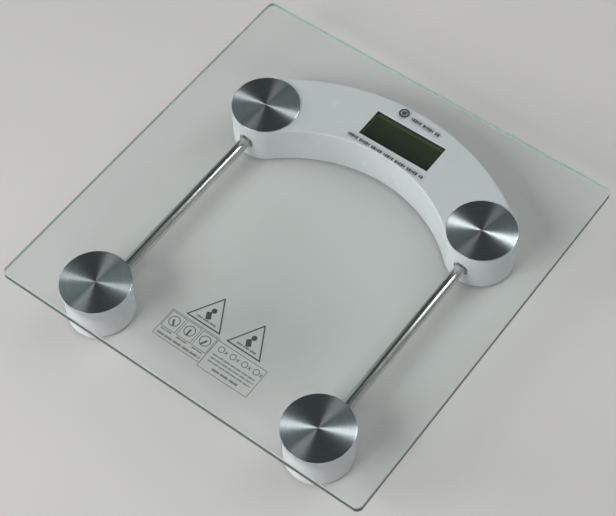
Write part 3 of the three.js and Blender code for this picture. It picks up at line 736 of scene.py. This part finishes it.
def foot_pad(corner):
    node = "foot_pad_" + corner
    low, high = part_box(node)
    centre = (low + high) / 2
    radius = (high.x - low.x) / 2
    corners = [(2.0 * MM, low.z + 0.5 * MM, 0)]
    rings, pitch = 5, 2.4 * MM
    for i in range(rings):
        start = 2.6 * MM + i * pitch
        corners += [
            (start, low.z + 0.5 * MM, 0.1 * MM), (start + 0.25 * MM, low.z, 0.15 * MM),
            (start + 1.3 * MM, low.z, 0.15 * MM), (start + 1.55 * MM, low.z + 0.5 * MM, 0.1 * MM),
        ]
    corners += [(radius - 0.6 * MM, low.z + 0.5 * MM, 0), (radius, low.z + 0.9 * MM, 0.3 * MM),
                (radius, high.z, 0.1 * MM), (radius - 0.8 * MM, high.z, 0)]
    piece("rubber_pad_" + corner, turned(eased(corners, steps=3), centre[:2]), RUBBER, node,
          body="sprung_foot_" + corner)


# ---------------------------------------------------------------- underside covers, cap, key and screws

FOOT_HOLE = 17.5 * MM
SEAT_INNER = 19.2 * MM
BASE_TOP = 5 * MM
SCREW_SEAT = 1.9 * MM
SCREW_HEAD = 2.2 * MM
SCREW_SHANK = 1.1 * MM
CLEARANCE = 0.3 * MM


def screw_hole(node):
    """The countersink and the hole that a screw takes in a cover."""
    low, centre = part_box(node)[0], middle(node)
    profile = [
        (SCREW_HEAD + CLEARANCE, low.z - PAST), (SCREW_HEAD + CLEARANCE, low.z + SCREW_SEAT),
        (SCREW_SHANK + CLEARANCE, low.z + SCREW_SEAT), (SCREW_SHANK + CLEARANCE, low.z + 9 * MM),
    ]
    return turned(profile, centre[:2], 40)


def pod_base(side):
    """The round cover under a front pod, with the load cell's seat inside it."""
    node = "pod_base_front_" + side
    low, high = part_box(node)
    rim, centre = (high.x - low.x) / 2, (low + high) / 2
    profile = eased([
        (FOOT_HOLE, low.z, 0.4 * MM), (rim, low.z, 0.3 * MM), (rim, high.z, 0.3 * MM),
        (SEAT_INNER, high.z, 0.3 * MM), (SEAT_INNER, BASE_TOP, 0.2 * MM), (FOOT_HOLE, BASE_TOP, 0.2 * MM),
    ], closed=True, steps=4)
    holes = [screw_hole(f"pod_screw_{place}_{side}") for place in ("inner", "outer")]
    bm = combined(turned(profile, centre[:2], capped=False), holes)
    piece("pod_cover_" + side, bm, WHITE, node)


def screw(node):
    """A pan-head screw with a cross recess and a pointed end."""
    low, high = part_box(node)
    centre = (low + high) / 2
    head_top = low.z + 1.6 * MM
    profile = eased([
        (SCREW_HEAD - 1.1 * MM, low.z, 0), (SCREW_HEAD - 0.3 * MM, low.z + 0.15 * MM, 0.4 * MM),
        (SCREW_HEAD, head_top, 0.3 * MM), (SCREW_SHANK, head_top, 0.1 * MM),
        (SCREW_SHANK, high.z - MM, 0.3 * MM), (0.15 * MM, high.z, 0),
    ], steps=4)
    recess = [(0, low.z - PAST), (0, low.z + 0.9 * MM)]
    cross = [
        stack(rounded_rectangle(length, width, 0.15 * MM, 3), recess, centre=centre[:2])
        for length, width in ((2.7 * MM, 0.6 * MM), (0.6 * MM, 2.7 * MM))
    ]
    piece("steel_" + node, combined(turned(profile, centre[:2], 48), cross), STEEL, node)


def battery_cap():
    """The quarter-turn cap: a coin slot, a shallow dish round it and two lugs above."""
    node = "battery_cap"
    low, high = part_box(node)
    centre = (low + high) / 2
    radius, top = 13.7 * MM, 5.5 * MM
    profile = eased([
        (10.6 * MM, low.z + 0.35 * MM, 0), (11.0 * MM, low.z, 0.15 * MM), (radius, low.z, 0.5 * MM),
        (radius, top, 0.2 * MM), (radius - MM, top, 0),
    ])
    lug_inner, lug_outer, half_angle, steps = 11.2 * MM, (high.x - low.x) / 2, pi / 15, 10
    outline = [
        on_circle(edge, way * half_angle * (2 * i / steps - 1))
        for edge, way in ((lug_outer, 1), (lug_inner, -1)) for i in range(steps + 1)
    ]
    lugs = []
    for way in (1, -1):
        points = [(way * x, way * y) for x, y in outline]
        lugs.append(stack(lambda inset: points, [(0, top - 0.2 * MM), (0, high.z)], centre=centre[:2]))
    slot = stack(rounded_rectangle(16 * MM, 2 * MM, 0.9 * MM, 6),
                 [(0, low.z - PAST), (0, low.z + 1.1 * MM)], centre=centre[:2])
    cap = combined(combined(turned(profile, centre[:2]), lugs, "UNION"), [slot])
    piece("quarter_turn_cap", cap, WHITE, node, body="battery_cap_body")


def unit_key():
    """The square key under the housing, with its collar and the stem that works the switch."""
    node = "unit_button"
    low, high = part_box(node)
    centre = (low + high) / 2
    side, collar = 8 * MM, high.x - low.x
    collar_low, collar_high = BASE_TOP + CLEARANCE, BASE_TOP + CLEARANCE + 1.2 * MM
    key = stack(rounded_rectangle(side, side, 1.0 * MM, 6), [
        (1.2 * MM, low.z + 0.15 * MM), (0.9 * MM, low.z), (0.45 * MM, low.z),
        (0.12 * MM, low.z + 0.12 * MM), (0, low.z + 0.45 * MM), (0, collar_low + 0.5 * MM),
    ], centre=centre[:2])
    ease = 0.15 * MM
    ledge = stack(rounded_rectangle(collar, collar, 0.8 * MM, 4), [
        (ease, collar_low), (0, collar_low + ease), (0, collar_high - ease), (ease, collar_high),
    ], centre=centre[:2])
    stem_profile = [(2 * MM, collar_low + MM), (2 * MM, high.z - 0.3 * MM), (1.7 * MM, high.z)]
    stem = turned(stem_profile, centre[:2], 40)
    cap = combined(key, [ledge, stem], "UNION")
    piece("unit_key_cap", cap, GREY, node, body="unit_key")


# ---------------------------------------------------------------- printed marks


INK_DEPTH = 0.02 * MM


def bar(x, y, length, width, z, turn=0.0):
    """A flat printed bar."""
    bm = stack(rounded_rectangle(length, width, min(length, width) * 0.2, 2), [(0, z), (0, z + INK_DEPTH)])
    move = Matrix.Translation((x, y, 0)) @ Matrix.Rotation(turn, 4, "Z")
    bmesh.ops.transform(bm, matrix=move, verts=bm.verts)
    return bm


def outline_bars(points, width, z):
    """A closed printed line through the points."""
    bars = []
    for (x0, y0), (x1, y1) in zip(points, points[1:] + points[:1]):
        length, turn = hypot(x1 - x0, y1 - y0), atan2(y1 - y0, x1 - x0)
        bars.append(bar((x0 + x1) / 2, (y0 + y1) / 2, length + width, width, z, turn))
    return bars


def dot(x, y, outer, z, inner=0.0):
    """A printed spot, or a ring if it has an inner radius."""
    top = z + INK_DEPTH
    if inner == 0:
        return turned([(outer, z), (outer, top)], (x, y), 48)
    return turned([(inner, z), (outer, z), (outer, top), (inner, top)], (x, y), 48, capped=False)


def block_row(x, y, z, length, height, turn=0.0):
    """A row of small upright blocks in word-like groups, from (x, y) along the turned row."""
    blocks, along, count = [], 0.0, 0
    while along < length:
        wide = height * (0.42 + 0.22 * ((count * 7) % 3) / 2)
        tall = height * (1.0 if count % 3 else 0.72)
        middle_along = along + wide / 2
        blocks.append(bar(x + middle_along * cos(turn), y + middle_along * sin(turn), wide, tall, z, turn))
        count += 1
        along += wide + height * (0.75 if count % 5 == 0 else 0.18)
    return blocks


def marks_on_housing(z):
    """Generic print round the display: a ringed mark and two rows of plain blocks."""
    mark = (-8.8 * MM, 135.4 * MM)
    parts = [dot(*mark, 4.4 * MM, z, 3.0 * MM), dot(*mark, 1.9 * MM, z)]
    parts += block_row(-1.0 * MM, 134.4 * MM, z, 26 * MM, 2.9 * MM, radians(-3.2))
    parts += block_row(-33.5 * MM, 94.0 * MM, z, 72 * MM, 2.8 * MM, radians(-1.8))
    piece("display_print", joined(*parts), INK, ())


def caution_triangle(x, y, side, height, z):
    """A plain triangle outline with a spot, a slanted bar and a row of blocks in it."""
    base = y - height / 3
    corners = [(x - side / 2, base), (x + side / 2, base), (x, base + height)]
    parts = outline_bars(corners, 1.1 * MM, z)
    parts.append(dot(x, y + 4.5 * MM, 2.2 * MM, z))
    parts.append(bar(x - 1.0 * MM, y - 1.0 * MM, 4.2 * MM, 6.5 * MM, z, 0.5))
    parts += block_row(x - 8.5 * MM, base + 3.2 * MM, z, 17 * MM, 1.5 * MM)
    return parts


def panel_outline(x, y, length, width, z):
    left, right, front, back = x - length / 2, x + length / 2, y - width / 2, y + width / 2
    corners = [(left, front), (right, front), (right, back), (left, back)]
    return outline_bars(corners, 0.45 * MM, z)


def label_under_front(z):
    """A generic printed panel near the front edge: triangles, framed cells, rings and rows of blocks."""
    dark = caution_triangle(-15.6 * MM, -101.4 * MM, 30 * MM, 25.8 * MM, z)
    dark += caution_triangle(22.4 * MM, -102.4 * MM, 29.5 * MM, 25.8 * MM, z)
    piece("label_triangles", joined(*dark), INK, ())

    thin = panel_outline(-19.6 * MM, -125.2 * MM, 43.7 * MM, 24.2 * MM, z)
    thin += panel_outline(24.8 * MM, -127.2 * MM, 44.9 * MM, 25.4 * MM, z)
    for i in range(3):
        x = (-34.0 + 14.4 * i) * MM
        thin += panel_outline(x, -121.5 * MM, 12.6 * MM, 14.5 * MM, z)
        thin.append(dot(x, -120.8 * MM, 4.6 * MM, z, 3.9 * MM))
        thin.append(bar(x, -122.0 * MM, 1.6 * MM, 5.5 * MM, z, 0.5 - 0.5 * i))
        thin += block_row(x - 5 * MM, -130.4 * MM, z, 9.5 * MM, 1.3 * MM)
    thin += block_row(-39.5 * MM, -134.4 * MM, z, 40 * MM, 1.9 * MM)
    for i in range(4):
        x = (9.0 + 10.6 * i) * MM
        thin.append(dot(x, -119.4 * MM, 2.6 * MM, z, 2.0 * MM))
        for turn in (0.9, -0.9):
            thin.append(bar(x + 4.6 * MM, -119.8 * MM, 3.2 * MM, 0.6 * MM, z, turn))
    for i in range(3):
        thin += block_row(6.0 * MM, (-125.6 - 3.1 * i) * MM, z, 37.5 * MM, 1.3 * MM)
    thin += block_row(13.0 * MM, -136.0 * MM, z, 22 * MM, 2.0 * MM)
    piece("label_panels", joined(*thin), PALE_INK, ())


def add_print():
    """Everything printed on the underside of the glass."""
    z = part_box("glass_platform")[0].z - 0.04 * MM
    marks_on_housing(z)
    label_under_front(z)


# ---------------------------------------------------------------- floor and lights

FLOOR_SIZE = 30
ROOM = (0.155, 0.155, 0.157, 1)
ROOM_IN_REFLECTIONS = (0.046, 0.050, 0.050, 1)
WALL_IN_REFLECTIONS = (0.74, 0.90, 0.86, 1)
WALL_DIRECTION = (-0.90, -0.25, 0.35)
WALL_FADE = (0.68, 0.94)


def add_floor():
    bm = bmesh.new()
    bmesh.ops.create_grid(bm, x_segments=1, y_segments=1, size=FLOOR_SIZE / 2)
    floor = to_object("floor", bm)
    floor.data.materials.append(floor_finish())


def softbox(name, direction, distance, width, height, power, colour=(1, 1, 1)):
    """A rectangular area lamp that faces the middle of the scale."""
    data = bpy.data.lights.new(name, "AREA")
    data.shape = "RECTANGLE"
    data.size = width
    data.size_y = height
    data.energy = power
    data.color = colour
    lamp = bpy.data.objects.new(name, data)
    aim = Vector(direction).normalized()
    lamp.location = aim * distance
    lamp.rotation_mode = "QUATERNION"
    lamp.rotation_quaternion = aim.to_track_quat("Z", "Y")
    bpy.context.collection.objects.link(lamp)
    return lamp


def add_lights():
    """A soft key from the front left, a low fill from the left, an overhead panel, and two panels at the
    back and the right that only show as highlights on the metal."""
    softbox("key", (-0.25, -0.78, 0.60), 2.4, 1.2, 1.0, 30)
    fill = softbox("fill", (-0.88, -0.52, 0.17), 3.2, 1.6, 0.8, 42)
    top = softbox("top", (0.35, 0.60, 1.0), 2.6, 2.2, 2.2, 26)
    window = softbox("window", (0.334, 0.640, 0.692), 4.0, 1.0, 0.9, 80, (0.95, 0.98, 1.0))
    card = softbox("card", (0.80, 0.42, 0.46), 3.0, 1.6, 0.34, 2.4)
    for lamp in (fill, top):
        lamp.visible_glossy = False
    for lamp in (window, card):
        lamp.visible_diffuse = False


def add_world():
    """A pale room to the camera and to matt surfaces. In reflections it is dark, with a paler left wall."""
    world = bpy.data.worlds.new("room")
    bpy.context.scene.world = world
    world.use_nodes = True
    nodes, links = world.node_tree.nodes, world.node_tree.links
    nodes.clear()
    path = nodes.new("ShaderNodeLightPath")
    dark, pale = nodes.new("ShaderNodeBackground"), nodes.new("ShaderNodeBackground")
    direction, toward_wall = nodes.new("ShaderNodeTexCoord"), nodes.new("ShaderNodeVectorMath")
    toward_wall.operation = "DOT_PRODUCT"
    toward_wall.inputs[1].default_value = WALL_DIRECTION
    wall = nodes.new("ShaderNodeValToRGB")
    wall.color_ramp.interpolation = "EASE"
    colours = (ROOM_IN_REFLECTIONS, WALL_IN_REFLECTIONS)
    for element, position, colour in zip(wall.color_ramp.elements, WALL_FADE, colours):
        element.position, element.color = position, colour
    links.new(direction.outputs["Generated"], toward_wall.inputs[0])
    links.new(toward_wall.outputs["Value"], wall.inputs[0])
    links.new(wall.outputs["Color"], dark.inputs["Color"])
    pale.inputs["Color"].default_value = ROOM
    mix, out = nodes.new("ShaderNodeMixShader"), nodes.new("ShaderNodeOutputWorld")
    links.new(path.outputs["Is Glossy Ray"], mix.inputs[0])
    links.new(pale.outputs[0], mix.inputs[1])
    links.new(dark.outputs[0], mix.inputs[2])
    links.new(mix.outputs[0], out.inputs["Surface"])


# ---------------------------------------------------------------- the CAD nodes that stay as they are

KEPT = {
    STEEL: ["load_cell_" + c for c in CORNERS] + ["coin_cell"],
    BLACK: ["load_cell_clamp_" + c for c in CORNERS] + ["lcd_holder", "controller_chip", "unit_switch"],
    WHITE: ["housing_base"],
    RUBBER: ["contact_strip_front", "contact_strip_back"],
    BOARD: ["circuit_board"],
    BRASS: ["battery_contact_top", "battery_contact_side"],
    WIRE: ["wire_loom_front_left", "wire_loom_front_right", "wire_lead_back_left", "wire_lead_back_right",
           "battery_lead"],
}


def finish_kept_nodes():
    for material, names in KEPT.items():
        for name in names:
            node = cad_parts[name]
            for i in range(len(node.material_slots)):
                node.material_slots[i].material = material


# ---------------------------------------------------------------- the scene

bpy.context.scene.view_settings.view_transform = "Standard"
add_world()
add_floor()
add_lights()
glass_platform()
for corner_name in CORNERS:
    cover_disc(corner_name)
    foot(corner_name)
    foot_pad(corner_name)
display_housing()
for side_name in SIDES:
    front_pod_shell(side_name)
    steel_tube(side_name)
    tube_bush("front", side_name)
    tube_bush("back", side_name)
    pod_base(side_name)
    for kind in ("pod_screw_inner", "pod_screw_outer", "housing_screw_end", "housing_screw_middle"):
        screw(f"{kind}_{side_name}")
battery_cap()
unit_key()
lcd_panel()
add_print()
finish_kept_nodes()
